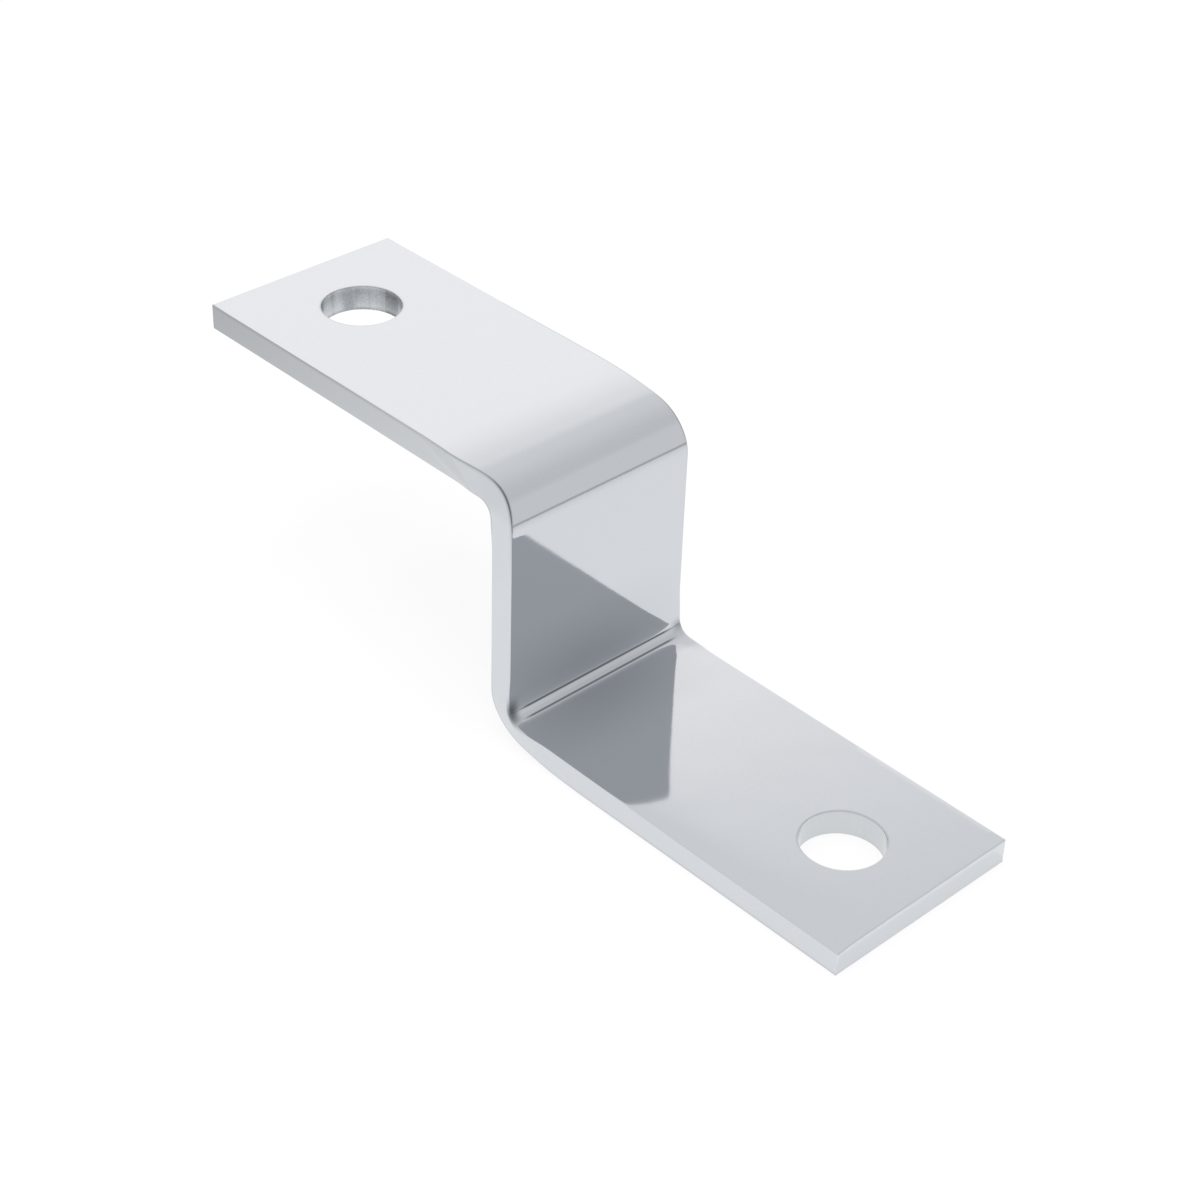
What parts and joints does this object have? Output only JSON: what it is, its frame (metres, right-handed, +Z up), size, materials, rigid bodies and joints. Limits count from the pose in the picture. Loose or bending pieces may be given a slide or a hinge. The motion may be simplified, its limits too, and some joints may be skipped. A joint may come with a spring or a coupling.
{
  "type": "z bracket",
  "caption": "Flat bar folded twice into a Z, with a bolt hole near the free end of each parallel leg, to join two surfaces that lie at different levels.",
  "frame": {"origin": "middle of the bracket's footprint, under the web's mid-plane, level with the underside of the lower leg", "axes": "+Z up from the lower leg to the upper leg, +X along the lower leg to its free end, Y across the bar's width"},
  "size_m": [0.097, 0.025, 0.032],
  "materials": {
    "bright_plate": "bright plated steel, near mirror, with a very fine rolled grain"
  },
  "bodies": {
    "root": {"z_bracket": "bright_plate"}
  },
  "joints": []
}
